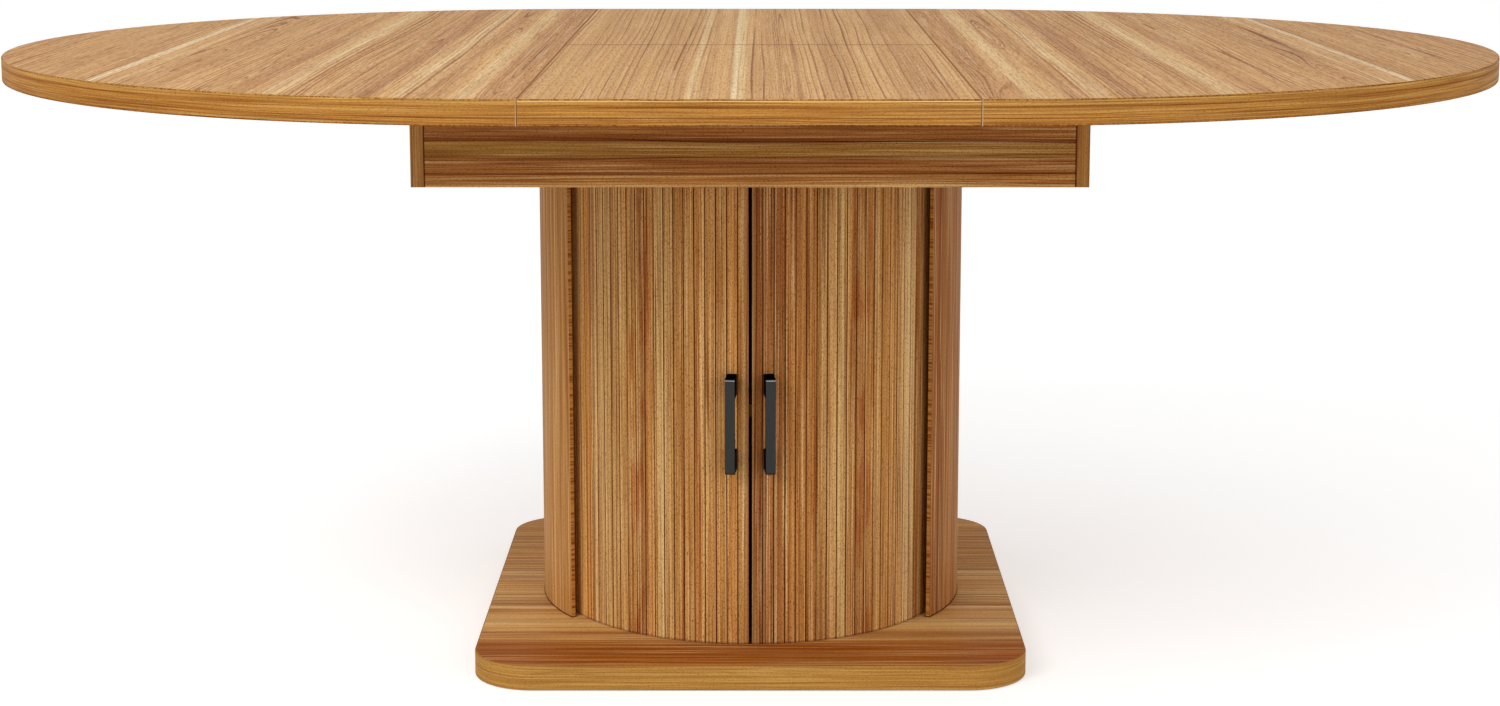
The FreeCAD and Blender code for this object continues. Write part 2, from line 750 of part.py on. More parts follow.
def leaf_board():
    """Core of the front half, inside its bands."""
    reach = half_leaf - band_thickness
    return block(-reach, reach, -top_radius + band_thickness, -fold_gap / 2 - band_thickness,
                 top_underside, table_height)


def build_leaf(parts):
    def to_back(shape):
        return shape.mirror(Vector(0, 0, 0), Vector(0, 1, 0))

    front_cuts = peg_slots() + barrel_seats(-1)
    parts["leaf_front_board"] = cut_all(leaf_board(), front_cuts)
    parts["leaf_front_bands"] = Part.makeCompound([cut_all(band, front_cuts) for band in leaf_bands()])
    parts["leaf_front_barrels"] = hinge_barrels(-1)
    parts["leaf_rear_board"] = cut_all(to_back(leaf_board()), barrel_seats(1))
    parts["leaf_rear_bands"] = Part.makeCompound(
        [cut_all(to_back(band), barrel_seats(1)) for band in leaf_bands()])
    parts["leaf_rear_barrels"] = hinge_barrels(1)
    parts["leaf_hinge_links"] = Part.makeCompound([link_arc(axis, 0.0) for axis in barrel_axes()])


def as_built(shape):
    return shape


def build_table():
    parts = {}
    build_base(parts)
    build_shells(parts)
    build_cabinet(parts)
    build_apron(parts)
    build_centre_stops(parts)
    build_door(parts, "right", as_built)
    build_door(parts, "left", mirrored)
    build_half(parts, "right", as_built)
    build_half(parts, "left", mirrored)
    build_leaf(parts)
    return parts


def main():
    os.makedirs("parts", exist_ok=True)
    for name, shape in build_table().items():
        shape.exportStep("parts/" + name + ".step")


main()
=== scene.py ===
import json
import math

import bpy
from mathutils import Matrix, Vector


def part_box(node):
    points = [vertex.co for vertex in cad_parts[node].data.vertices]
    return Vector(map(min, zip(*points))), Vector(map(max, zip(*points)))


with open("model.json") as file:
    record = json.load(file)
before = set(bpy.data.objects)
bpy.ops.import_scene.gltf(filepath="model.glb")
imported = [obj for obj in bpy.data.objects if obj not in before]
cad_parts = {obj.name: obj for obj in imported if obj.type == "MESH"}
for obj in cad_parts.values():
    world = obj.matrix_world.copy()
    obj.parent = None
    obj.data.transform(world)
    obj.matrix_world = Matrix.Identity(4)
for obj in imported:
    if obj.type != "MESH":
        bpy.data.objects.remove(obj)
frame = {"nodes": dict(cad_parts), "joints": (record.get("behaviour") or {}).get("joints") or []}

# Looks of an extending pedestal table: wood-print laminates, hardware finishes, light and camera.
# Metres in the scene; the pattern sizes of the materials are given in millimetres.
# X runs along the extended top, the doors face -Y, Z is up, and the origin is on the floor.

MM = 0.001
X, Y, Z = range(3)                                    # the axes, as a vector counts them
nodes = frame["nodes"]
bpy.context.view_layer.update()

# ---- Sizes read from the frame ---------------------------------------------------
seam_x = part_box("leaf_front_bands")[1].x              # half the leaf's width
top_underside, top_height = [corner.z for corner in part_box("left_top_board")]
top_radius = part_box("left_top_bands")[1].y
apron_half_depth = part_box("apron_right")[1].y
panel_inner_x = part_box("apron_right")[0].x
base_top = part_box("base_plate")[1].z
shell_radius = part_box("left_shell")[1].y
shell_front_angle = math.acos(-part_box("left_shell")[0].y / shell_radius)
joints = {joint["name"]: joint for joint in frame["joints"]}
door_centre_y = joints["left_door_turn"]["pos_m"][Y]
handle_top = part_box("left_handle")[1].z
handle_reach = door_centre_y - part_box("left_handle")[0].y

# ---- Sizes of the slats, as their solids have them -------------------------------
door_radius = 0.252                                   # to the slats' faces
slat_angle = math.radians(3.06)                       # from one slat to the next
first_slat_angle = math.radians(0.455)                # from the middle to the first slat


def linear(hex_colour):
    """An sRGB colour such as #c49c71 as the linear RGBA that a shader socket takes."""
    channels = [int(hex_colour[i:i + 2], 16) / 255 for i in (1, 3, 5)]
    return [c / 12.92 if c <= 0.04045 else ((c + 0.055) / 1.055) ** 2.4 for c in channels] + [1.0]


def add(tree, kind, inputs=None, **settings):
    """Adds one shader node with its settings, and fills or links its inputs by name or number."""
    made = tree.nodes.new("ShaderNode" + kind)
    for name, value in settings.items():
        setattr(made, name, value)
    for socket, value in (inputs or {}).items():
        if isinstance(value, bpy.types.NodeSocket):
            tree.links.new(value, made.inputs[socket])
        else:
            made.inputs[socket].default_value = value
    return made


def new_material(name):
    """An empty node material and its tree."""
    material = bpy.data.materials.new(name)
    material.use_nodes = True
    material.node_tree.nodes.clear()
    return material, material.node_tree


def surface(tree, **inputs):
    """Closes a material with one Principled shader; names use _ for the space in a socket's name."""
    named = {name.replace("_", " "): value for name, value in inputs.items()}
    shader = add(tree, "BsdfPrincipled", named)
    add(tree, "OutputMaterial", {"Surface": shader.outputs[0]})


# ---- Where a grain pattern is measured from --------------------------------------
def measured(tree):
    """A place on the object in metres, whole and as its X, Y and Z."""
    place = add(tree, "TexCoord").outputs["Object"]
    return place, add(tree, "SeparateXYZ", {0: place}).outputs


def round_axis(tree, place, centre_y, radius):
    """Arc length round an upright axis, from the front and positive to the right."""
    parts = add(tree, "SeparateXYZ", {0: place}).outputs
    back = add(tree, "Math", {0: centre_y, 1: parts["Y"]}, operation="SUBTRACT").outputs[0]
    angle = add(tree, "Math", {0: parts["X"], 1: back}, operation="ARCTAN2").outputs[0]
    return add(tree, "Math", {0: angle, 1: radius}, operation="MULTIPLY").outputs[0]


def reach_from(tree, place, centre_y):
    """Distance from an upright axis on the table's middle plane."""
    parts = add(tree, "SeparateXYZ", {0: place}).outputs
    offset = add(tree, "Math", {0: parts["Y"], 1: centre_y}, operation="SUBTRACT").outputs[0]
    flat = add(tree, "CombineXYZ", {"X": parts["X"], "Y": offset}).outputs[0]
    return add(tree, "VectorMath", {0: flat}, operation="LENGTH").outputs["Value"]


def round_doors(tree, place):
    """Arc length over the doors' faces."""
    return round_axis(tree, place, door_centre_y, door_radius)


# ---- Wood print ------------------------------------------------------------------
# The tones of the walnut print, from sapwood to the darkest late wood.
# amber is used only as painted light at the left door's outer edge.
wood_tones = {"amber": "#f6bb70", "cream": "#f3d6a6", "straw": "#e8c389", "honey": "#dba96b",
              "plain": "#d29f62", "tan": "#c9945a", "brown": "#b9824f", "umber": "#a66c3f",
              "rust": "#b06824", "olive": "#b38a4e", "russet": "#7e4625"}
top_shade = (0.38, 0.18, 0.07, 1.0)                   # what a dark grain line leaves of the light
warm_shade = (0.42, 0.23, 0.13, 1.0)
# groove_shade darkens the slats' grooves, partly for their dark core and partly as painted shade, paints
# shade along the drum's foot, and marks the apron's joints.
groove_shade = (0.24, 0.11, 0.05, 1.0)
tick_shade = (0.42, 0.20, 0.12, 1.0)
slat_shade = (0.72, 0.68, 0.62, 1.0)                  # towards which the darkest slats go
slat_redness = (1.0, 0.76, 0.60, 1.0)                 # towards which the reddest slats go
figure_shade = (0.75, 0.45, 0.33, 1.0)
groove_reach = 0.9 * MM                               # from a groove's middle to where its shade ends
groove_core = 0.4 * MM                                # and to where the shade is still full
broad_grain = (14.0, 900, 0.14)                       # mark width mm, mark length mm, strength
close_grain = (3.0, 260, 0.18)
edge_grain = (2.0, 160, 0.30)
fine_grain = (1.2, 90, 0.30)
late_wood_width = 1.5                                 # mm, drawn a little wider than the real line
ring_unevenness = 1.6                                 # how many rings a line may stray from even spacing
loop_height = 3.4                                     # of a flame, in half-widths of its lane
short_pores = (0.9, 2.6)                              # width and length in mm
long_pores = (1.8, 24.0)                              # on the top, which is mostly seen at a low angle
rough_spread = 0.08                                   # how far roughness varies to either side


def overlap(tree, *masks):
    """The product of masks, which is 1 only where all of them are 1."""
    product = masks[0]
    for mask in masks[1:]:
        product = add(tree, "Math", {0: product, 1: mask}, operation="MULTIPLY").outputs[0]
    return product


def within(tree, value, low, high, soft):
    """1 where a place in metres lies from low to high, fading to 0 over soft on both sides."""
    rise = add(tree, "MapRange", {"Value": value, "From Min": low - soft, "From Max": low},
               interpolation_type="SMOOTHSTEP").outputs[0]
    fall = add(tree, "MapRange", {"Value": value, "From Min": high, "From Max": high + soft,
                                  "To Min": 1.0, "To Max": 0.0}, interpolation_type="SMOOTHSTEP").outputs[0]
    return overlap(tree, rise, fall)


def covered(tree, colour, mask, strength, other, blend="MIX"):
    """A colour with another one laid over it by a mask, as strongly as strength says."""
    share = overlap(tree, mask, strength)
    return add(tree, "Mix", {"Factor": share, "A": colour, "B": other}, data_type="RGBA",
               blend_type=blend).outputs["Result"]


def shaded(tree, colour, mask, strength, shade):
    """Darkens a colour towards its product with a warm shade."""
    return covered(tree, colour, mask, strength, shade, blend="MULTIPLY")


def tone(name, tint=(1.0, 1.0, 1.0)):
    """A tone of the print, as the stain of one board tints it."""
    colour = linear(wood_tones[name])
    return [channel * part for channel, part in zip(colour, tint)] + [1.0]


def lane_ramp(tree, across, lanes, tint):
    """Colour lanes across the grain: (place in mm, tone) in rising order."""
    first, last = lanes[0][0], lanes[-1][0]
    share = add(tree, "MapRange", {"Value": across, "From Min": first * MM,
                                   "From Max": last * MM}).outputs[0]
    ramp = add(tree, "ValToRGB", {0: share})
    stops = ramp.color_ramp.elements
    for place, name in lanes[1:-1]:
        stops.new((place - first) / (last - first)).color = tone(name, tint)
    stops[0].color = tone(lanes[0][1], tint)
    stops[-1].color = tone(lanes[-1][1], tint)
    return ramp.outputs["Color"]


def drawn_noise(tree, place, along, width, length, seed, low=0.4, high=0.6, detail=2.0):
    """Marks that are about width mm wide and length mm long, as a share from 0 to 1."""
    scale = [1.0, 1.0, 1.0]
    for axis in along:
        scale[axis] = width / length
    grain = add(tree, "Mapping", {"Vector": place, "Location": (seed, seed * 1.7, seed * 2.3),
                                  "Scale": scale}).outputs[0]
    noise = add(tree, "TexNoise", {"Vector": grain, "Scale": 1 / (width * MM),
                                   "Detail": detail}).outputs["Fac"]
    return add(tree, "MapRange", {"Value": noise, "From Min": low, "From Max": high}).outputs[0]


def growth_rings(tree, place, across, along, spacing, stray, swirl_size, flames, seed):
    """Thin lines that are dark on one side and fade on the other, as where late wood meets the next
    year's early wood. No two are equally far apart or equally dark. stray is how many mm a line wanders
    and swirl_size the width and length in mm over which it does; flames are the middles and half-widths
    in mm of the lanes where the lines close into long pointed loops."""
    turns = add(tree, "Math", {0: across, 1: 1 / (spacing * MM)}, operation="MULTIPLY").outputs[0]
    swirl = drawn_noise(tree, place, along, *swirl_size, seed + 5, low=0.2, high=0.8, detail=1.0)
    phase = add(tree, "Math", {0: swirl, 1: stray / spacing, 2: turns}, operation="MULTIPLY_ADD").outputs[0]
    loop_size = (1.5 * swirl_size[0], 0.6 * swirl_size[1])
    for middle, half_width in flames:
        hump = within(tree, across, middle * MM, middle * MM, half_width * MM)
        height = drawn_noise(tree, place, along, *loop_size, seed + middle, low=0.1, high=0.9, detail=0.0)
        rings = loop_height * half_width / spacing
        phase = add(tree, "Math", {0: overlap(tree, hump, height), 1: rings, 2: phase},
                    operation="MULTIPLY_ADD").outputs[0]
    uneven = add(tree, "TexNoise", {"W": phase, "Scale": 0.5, "Detail": 1.0}, noise_dimensions="1D")
    phase = add(tree, "Math", {0: uneven.outputs["Fac"], 1: ring_unevenness, 2: phase},
                operation="MULTIPLY_ADD").outputs[0]
    tooth = add(tree, "Math", {0: phase}, operation="FRACT").outputs[0]
    number = add(tree, "Math", {0: phase}, operation="FLOOR").outputs[0]
    edge = add(tree, "ValToRGB", {0: tooth})
    marks = edge.color_ramp.elements
    marks[0].color = (1, 1, 1, 1)
    marks[1].color = (1, 1, 1, 1)
    core = min(late_wood_width / spacing, 0.2)
    fade = [(core, 0.95), (1.6 * core, 0.2), (0.45, 0.05)]
    faint_line = [(0.5, 0.35), (0.55, 0.05), (0.95, 0.0)]
    for stop, grey in fade + faint_line:
        marks.new(stop).color = (grey, grey, grey, 1)
    drawn = add(tree, "TexWhiteNoise", {"W": number}, noise_dimensions="1D").outputs["Value"]
    darkness = add(tree, "MapRange", {"Value": drawn, "To Min": 0.25}).outputs[0]
    broken = drawn_noise(tree, place, along, 45, 900, seed + 9, low=0.26, high=0.5)
    return overlap(tree, edge.outputs["Color"], darkness, broken)


def wood_print(tree, place, across, along, lanes, seed, tint=(1.0, 1.0, 1.0), shade=warm_shade, spacing=9.0,
               stray=14.0, swirl_size=(70, 1100), ring=0.95, flames=(), wander=2.0,
               grains=(broad_grain, close_grain), hair=0.35, light=0.3, pores=0.45, pore_size=short_pores):
    """Printed wood grain: soft colour lanes, long streaks, growth rings, fine dark and pale hairs and
    short pores. Returns the colour, and the relief that the embossed plate follows."""
    drift = drawn_noise(tree, place, along, 80, 1400, seed, low=0.3, high=0.7)
    shift = add(tree, "MapRange", {"Value": drift, "To Min": -wander * MM, "To Max": wander * MM}).outputs[0]
    lane_place = add(tree, "Math", {0: across, 1: shift}, operation="ADD").outputs[0]
    colour = lane_ramp(tree, lane_place, lanes, tint)
    for width, length, strength in grains:
        share = drawn_noise(tree, place, along, width, length, seed + width, low=0.44, high=0.58)
        colour = shaded(tree, colour, share, strength, shade)
    rings = growth_rings(tree, place, lane_place, along, spacing, stray, swirl_size, flames, seed)
    colour = shaded(tree, colour, rings, ring, shade)

    # Hairs and pores are drawn a little coarser than the real ones, so that they show.
    dark_hair = drawn_noise(tree, place, along, 1.8, 220, seed + 21, low=0.54, high=0.66)
    colour = shaded(tree, colour, dark_hair, hair, shade)
    pale_hair = drawn_noise(tree, place, along, 2.2, 260, seed + 25, low=0.54, high=0.66)
    colour = covered(tree, colour, pale_hair, light, tone("cream", tint))
    pore = drawn_noise(tree, place, along, *pore_size, seed + 17, low=0.5, high=0.7)
    colour = shaded(tree, colour, pore, pores, shade)
    relief = add(tree, "Math", {0: pale_hair, 1: pore}, operation="SUBTRACT").outputs[0]
    return colour, relief


def satin_face(tree, colour, relief, rough=0.5):
    """Satin melamine: a soft low gloss that the embossed grain breaks up."""
    roughness = add(tree, "MapRange", {"Value": relief, "From Min": -1.0, "From Max": 1.0,
                                       "To Min": rough + rough_spread,
                                       "To Max": rough - rough_spread}).outputs[0]
    bump = add(tree, "Bump", {"Strength": 0.2, "Distance": 0.2 * MM, "Height": relief}).outputs[0]
    surface(tree, Base_Color=colour, Roughness=roughness, Normal=bump, Specular_IOR_Level=0.02)


def half_top():
    """Walnut-print melamine on the two halves: book-matched lanes that run front to back."""
    material, tree = new_material("walnut_print_melamine_top")
    place, parts = measured(tree)
    from_middle = add(tree, "Math", {0: parts["X"]}, operation="ABSOLUTE").outputs[0]
    lanes = [(239, "plain"), (248, "tan"), (276, "tan"), (286, "honey"), (300, "straw"), (312, "honey"),
             (330, "plain"), (338, "tan"), (352, "honey"), (364, "straw"), (378, "honey"), (388, "plain"),
             (396, "brown"), (412, "tan"), (424, "plain"), (478, "plain"), (488, "honey"), (506, "straw"),
             (526, "honey"), (540, "tan"), (562, "plain"), (600, "honey"), (640, "plain"), (696, "plain"),
             (700, "straw"), (706, "plain"), (722, "honey"), (727, "cream"), (732, "cream"), (738, "plain"),
             (860, "plain"), (940, "tan")]
    colour, relief = wood_print(tree, place, from_middle, (Y,), lanes, seed=1.0,
                                tint=(0.955, 1.005, 1.08), shade=top_shade, spacing=6.5, stray=20.0,
                                pores=0.5, pore_size=long_pores, hair=0.2, light=0.2,
                                flames=((262, 30), (318, 24), (405, 18), (560, 30), (660, 30), (812, 30)))
    satin_face(tree, colour, relief)
    return material


def leaf_top():
    """Walnut-print melamine on the leaf: straighter lines, one cream lane, and the fold's dark line, partly
    painted shade.
    """
    material, tree = new_material("walnut_print_melamine_leaf")
    place, parts = measured(tree)
    lanes = [(-240, "plain"), (-222, "honey"), (-206, "plain"), (-120, "plain"), (-70, "plain"),
             (-62, "straw"), (-54, "honey"), (-50, "plain"), (-40, "plain"), (-36, "honey"), (-20, "plain"),
             (-18, "cream"), (-12, "straw"), (-6, "straw"), (-4, "honey"), (2, "honey"), (4, "plain"),
             (30, "plain"), (75, "honey"), (95, "tan"), (110, "plain"), (150, "honey"), (180, "tan"),
             (215, "plain"), (222, "honey"), (230, "honey"), (240, "plain")]
    colour, relief = wood_print(tree, place, parts["X"], (Y,), lanes, seed=4.0,
                                tint=(0.93, 0.985, 1.045), shade=top_shade, wander=1.5, stray=13.0,
                                grains=((24.0, 900, 0.10), (2.4, 700, 0.12)), hair=0.12, light=0.15,
                                flames=((196, 18), (40, 14)), pores=0.5, pore_size=long_pores)
    # The fold's dark line: partly the bands' edges meeting there, partly painted shade of the gap between the
    # boards.
    fold = within(tree, parts["Y"], -3 * MM, 3 * MM, 4 * MM)
    satin_face(tree, shaded(tree, colour, fold, 0.4, top_shade), relief)
    return material


def top_band():
    """Walnut-print edge band: brighter and more orange than the faces, its lines along the edge. The
    bands show brown on top along the seams, their bare ends show pale at the rim, and the leaf's is
    trimmed to a pale line under its upper edge."""
    material, tree = new_material("walnut_print_edge_band_top")
    place, parts = measured(tree)
    height = parts["Z"]
    from_middle = add(tree, "Math", {0: parts["X"]}, operation="ABSOLUTE").outputs[0]
    from_fold = add(tree, "Math", {0: parts["Y"]}, operation="ABSOLUTE").outputs[0]
    lanes = [(722, "brown"), (724, "plain"), (729, "honey"), (730, "umber"), (731, "plain"), (736, "honey"),
             (740, "plain"), (741, "umber"), (742, "tan"), (745, "honey"), (748, "straw"), (750, "plain")]
    colour, relief = wood_print(tree, place, height, (X, Y), lanes, seed=19.0, tint=(0.72, 0.63, 0.37),
                                spacing=3.0, stray=9.0, ring=0.7, swirl_size=(24, 300), wander=1.0,
                                grains=(edge_grain, fine_grain))

    # Short dark ticks along both arrises.
    ticks = drawn_noise(tree, place, (Z,), 3.0, 60, seed=61.0, low=0.48, high=0.56)
    middle_height = (top_height + top_underside) / 2
    offset = add(tree, "Math", {0: height, 1: middle_height}, operation="SUBTRACT").outputs[0]
    from_centre = add(tree, "Math", {0: offset}, operation="ABSOLUTE").outputs[0]
    arris = within(tree, from_centre, top_height - middle_height - 1.3 * MM, 1.0, 0.5 * MM)
    colour = shaded(tree, colour, overlap(tree, arris, ticks), 0.6, warm_shade)

    # The trimmed line of the leaf, then the brown tops of the bands along the seams.
    trimmed = within(tree, height, top_height - 2.6 * MM, top_height - 2.0 * MM, 0.3 * MM)
    on_leaf = within(tree, from_middle, 0.0, seam_x - 0.4 * MM, 0.1 * MM)
    colour = covered(tree, colour, overlap(tree, trimmed, on_leaf), 0.6, tone("cream", (0.9, 0.86, 0.66)))
    near_top = within(tree, height, top_height - 0.6 * MM, top_height, 0.2 * MM)
    at_seam = within(tree, from_middle, seam_x - 3 * MM, seam_x + 3 * MM, 0.5 * MM)
    inside = within(tree, from_fold, 0.0, top_radius - 3 * MM, 0.5 * MM)
    colour = covered(tree, colour, overlap(tree, at_seam, inside, near_top), 1.0, linear("#a06c38"))

    # The dark line of the fold, partly the bands' edges and partly painted shade in the gap, then the bare
    # ends of the halves' bands.
    colour = shaded(tree, colour, within(tree, from_fold, 0.0, 3 * MM, 0.5 * MM), 1.0, warm_shade)
    band_end = within(tree, from_middle, seam_x + 0.3 * MM, seam_x + 1.5 * MM, 0.1 * MM)
    at_rim = within(tree, from_fold, top_radius - 3 * MM, top_radius + 3 * MM, 0.5 * MM)
    colour = covered(tree, colour, overlap(tree, band_end, at_rim), 1.0, linear("#b0936c"))
    satin_face(tree, colour, relief)
    return material


def slats_from_middle(tree, from_middle):
    """How many slats an arc length lies from the middle of the front, on either door."""
    slat = slat_angle * door_radius
    first = first_slat_angle * door_radius
    return add(tree, "MapRange", {"Value": from_middle, "From Min": first, "From Max": first + slat},
               clamp=False).outputs[0]


def groove_share(tree, counted):
    """1 in the chamfered grooves between the slats, and 0 on their faces and where the doors meet."""
    slat = slat_angle * door_radius
    part = add(tree, "Math", {0: counted}, operation="FRACT").outputs[0]
    offset = add(tree, "Math", {0: part, 1: 0.5}, operation="SUBTRACT").outputs[0]
    from_centre = add(tree, "Math", {0: offset}, operation="ABSOLUTE").outputs[0]
    groove = add(tree, "MapRange", {"Value": from_centre, "From Min": 0.5 - groove_reach / slat,
                                    "From Max": 0.5 - groove_core / slat}).outputs[0]
    behind_first = add(tree, "Math", {0: counted, 1: 0.5}, operation="GREATER_THAN").outputs[0]
    return overlap(tree, groove, behind_first)


def door_slats():
    """Walnut-print foil on the tambour slats: upright grain, warmer and stronger than on the top, no two
    slats quite alike, with the dark core showing in the grooves between them, deepened by painted shade."""
    material, tree = new_material("walnut_print_slat_foil")
    place, parts = measured(tree)
    arc = round_doors(tree, place)
    from_middle = add(tree, "Math", {0: arc}, operation="ABSOLUTE").outputs[0]
    counted = slats_from_middle(tree, from_middle)
    # The left door's outer lanes are drawn lighter, as painted light against the shade beside the shell, and
    # the lanes near the middle darker, as painted shade that evens the light across the doors.
    lanes = [(-252, "amber"), (-233, "amber"), (-229, "cream"), (-218, "cream"), (-208, "straw"),
             (-184, "straw"), (-164, "honey"), (-150, "plain"), (-142, "brown"), (-130, "honey"),
             (-112, "straw"), (-90, "plain"), (-64, "honey"), (-58, "straw"), (-50, "honey"), (-34, "plain"),
             (-12, "tan"), (0, "brown"), (12, "umber"), (38, "brown"), (60, "tan"), (84, "tan"),
             (113, "straw"), (127, "honey"), (132, "brown"), (160, "plain"), (200, "honey"), (229, "cream"),
             (240, "cream"), (242, "brown"), (252, "tan")]
    colour, relief = wood_print(tree, place, arc, (Z,), lanes, seed=7.0, tint=(1.01, 1.02, 0.88),
                                spacing=7.0, flames=((-165, 10), (-72, 9), (90, 9), (158, 10)),
                                wander=1.2, stray=9.0, grains=(broad_grain, (3.0, 260, 0.32)), hair=0.7,
                                light=0.55, pores=0.9)

    # Each slat has a number of its own, the right door's well past the left door's, and from it a shade.
    right_door_start = 37.0
    on_right = add(tree, "Math", {0: arc, 1: 0.0}, operation="GREATER_THAN").outputs[0]
    place_in_door = add(tree, "Math", {0: counted}, operation="FLOOR").outputs[0]
    number = add(tree, "Math", {0: on_right, 1: right_door_start, 2: place_in_door},
                 operation="MULTIPLY_ADD").outputs[0]
    own = add(tree, "TexWhiteNoise", {"W": number}, noise_dimensions="1D").outputs
    own_parts = add(tree, "SeparateXYZ", {0: own["Color"]}).outputs
    colour = shaded(tree, colour, own["Value"], 0.45, slat_shade)
    colour = shaded(tree, colour, own_parts["Y"], 0.6, slat_redness)

    # Reddish figure of a plain-sawn board, which the print repeats up the height.
    figure = within(tree, from_middle, 134 * MM, 156 * MM, 6 * MM)
    blotches = drawn_noise(tree, place, (Z,), 16, 90, seed=41.0, low=0.5, high=0.62)
    colour = shaded(tree, colour, overlap(tree, figure, blotches), 0.7, figure_shade)

    # Beside some grooves a pale line is painted, as a highlight on the chamfer.
    part = add(tree, "Math", {0: counted}, operation="FRACT").outputs[0]
    chosen = add(tree, "MapRange", {"Value": own_parts["Z"], "From Min": 0.5}).outputs[0]
    painted_chamfer_highlight = overlap(tree, within(tree, part, 0.07, 0.11, 0.02), chosen)
    colour = covered(tree, colour, painted_chamfer_highlight, 0.6, tone("cream", (0.95, 0.90, 0.78)))
    # The grooves are darkened: the dark core of the cut foil, and painted shade in them.
    colour = shaded(tree, colour, groove_share(tree, counted), 0.95, groove_shade)
    # Painted shade along the foot, where the slats meet the base.
    foot = within(tree, parts["Z"], 0.0, base_top + 1.5 * MM, 1.5 * MM)
    satin_face(tree, shaded(tree, colour, foot, 0.4, groove_shade), relief)
    return material


def shell_foil():
    """Walnut-print foil on the bent shells. Their front ends are banded with the grain turned level, so
    that it shows as short ticks, and a line of painted shade follows the joint with the base."""
    material, tree = new_material("walnut_print_shell_foil")
    place, parts = measured(tree)
    arc = round_axis(tree, place, 0.0, shell_radius)
    # The right shell's lanes are darker than the left's: painted shade, as the light falls more from the
    # left.
    lanes = [(-420, "plain"), (-330, "honey"), (-290, "plain"), (-270, "tan"), (270, "umber"), (290, "umber"),
             (330, "brown"), (420, "tan")]
    colour, relief = wood_print(tree, place, arc, (Z,), lanes, seed=11.0, tint=(1.06, 1.02, 0.86),
                                spacing=12.0, ring=0.7, stray=6.0, light=0.4, hair=0.3,
                                grains=((16.0, 900, 0.2), (8.0, 500, 0.35), (4.5, 300, 0.3)))
    end_arc = shell_front_angle * shell_radius + 0.3 * MM
    front_end = within(tree, arc, -end_arc, end_arc, 0.2 * MM)
    ticks = drawn_noise(tree, place, (X, Y), 3.0, 90, seed=43.0, low=0.45, high=0.6)
    end_colour = shaded(tree, linear("#b8803c"), ticks, 0.9, tick_shade)
    colour = covered(tree, colour, front_end, 1.0, end_colour)
    # Painted shade along the joint with the base.
    foot = within(tree, parts["Z"], 0.0, base_top + 1.0 * MM, 1.0 * MM)
    satin_face(tree, shaded(tree, colour, foot, 0.9, groove_shade), relief)
    return material


def apron_boards():
    """Walnut-print melamine on the apron: grain along the boards, a dark reddish top and olive lanes.
    The end panels' front and back edges are banded with upright grain."""
    material, tree = new_material("walnut_print_melamine_apron")
    place, parts = measured(tree)
    from_middle = add(tree, "Math", {0: parts["X"]}, operation="ABSOLUTE").outputs[0]
    from_fold = add(tree, "Math", {0: parts["Y"]}, operation="ABSOLUTE").outputs[0]
    lanes = [(614, "straw"), (616, "tan"), (627, "tan"), (629, "russet"), (631, "brown"), (642, "brown"),
             (645, "umber"), (648, "brown"), (651, "olive"), (666, "olive"), (668, "russet"), (671, "umber"),
             (676, "brown"), (722, "umber")]
    colour, relief = wood_print(tree, place, parts["Z"], (X, Y), lanes, seed=13.0,
                                tint=(1.02, 0.96, 0.77), spacing=3.8, stray=16.0, swirl_size=(40, 500),
                                wander=3.2, light=0.35, hair=0.5, pores=0.7,
                                grains=(broad_grain, (2.4, 150, 0.3), fine_grain))
    end_lanes = [(-400, "tan"), (378, "brown"), (384, "tan"), (388, "plain"), (394, "brown")]
    upright, _ = wood_print(tree, place, from_middle, (Z,), end_lanes, seed=31.0, tint=(0.76, 0.70, 0.52),
                            spacing=4.0, stray=3.0, wander=0.6, grains=(edge_grain,))
    at_face = within(tree, from_fold, apron_half_depth - 0.4 * MM, apron_half_depth + 1 * MM, 0.2 * MM)
    on_panel = within(tree, from_middle, panel_inner_x, panel_inner_x + 1.0, 0.1 * MM)
    colour = covered(tree, colour, overlap(tree, at_face, on_panel), 1.0, upright)
    at_joint = within(tree, from_middle, panel_inner_x - 0.7 * MM, panel_inner_x + 0.7 * MM, 0.4 * MM)
    colour = shaded(tree, colour, overlap(tree, at_face, at_joint), 0.9, groove_shade)
    satin_face(tree, colour, relief)
    return material


def base_board():
    """Walnut-print melamine on the base plate: grain along X, and a line of painted shade round the drum's
    foot.
    """
    material, tree = new_material("walnut_print_melamine_base")
    place, parts = measured(tree)
    lanes = [(-352, "tan"), (-336, "rust"), (-262, "rust"), (-240, "plain"), (-216, "brown"),
             (-206, "honey"), (-180, "straw"), (-120, "plain"), (-104, "cream"), (-96, "brown"),
             (-60, "straw"), (0, "honey"), (60, "cream"), (66, "honey"), (200, "plain"), (352, "honey")]
    colour, relief = wood_print(tree, place, parts["Y"], (X,), lanes, seed=17.0,
                                tint=(1.03, 1.02, 0.84), spacing=8.0, flames=((-280, 18), (-200, 24)),
                                hair=0.65, light=0.4, grains=((8.0, 700, 0.15), (2.6, 400, 0.35)))
    # Painted shade round the drum's foot, outside the shells and the doors.
    feet = ((0.0, shell_radius, shell_front_angle, math.pi, 0.7),
            (door_centre_y, door_radius, 0.0, shell_front_angle, 0.3))
    for centre_y, radius, low, high, strength in feet:
        under = within(tree, reach_from(tree, place, centre_y), radius - 8 * MM, radius, 2 * MM)
        arc = round_axis(tree, place, centre_y, radius)
        from_front = add(tree, "Math", {0: arc}, operation="ABSOLUTE").outputs[0]
        beside = within(tree, from_front, low * radius, high * radius, 2 * MM)
        colour = shaded(tree, colour, overlap(tree, under, beside), strength, groove_shade)
    satin_face(tree, colour, relief)
    return material


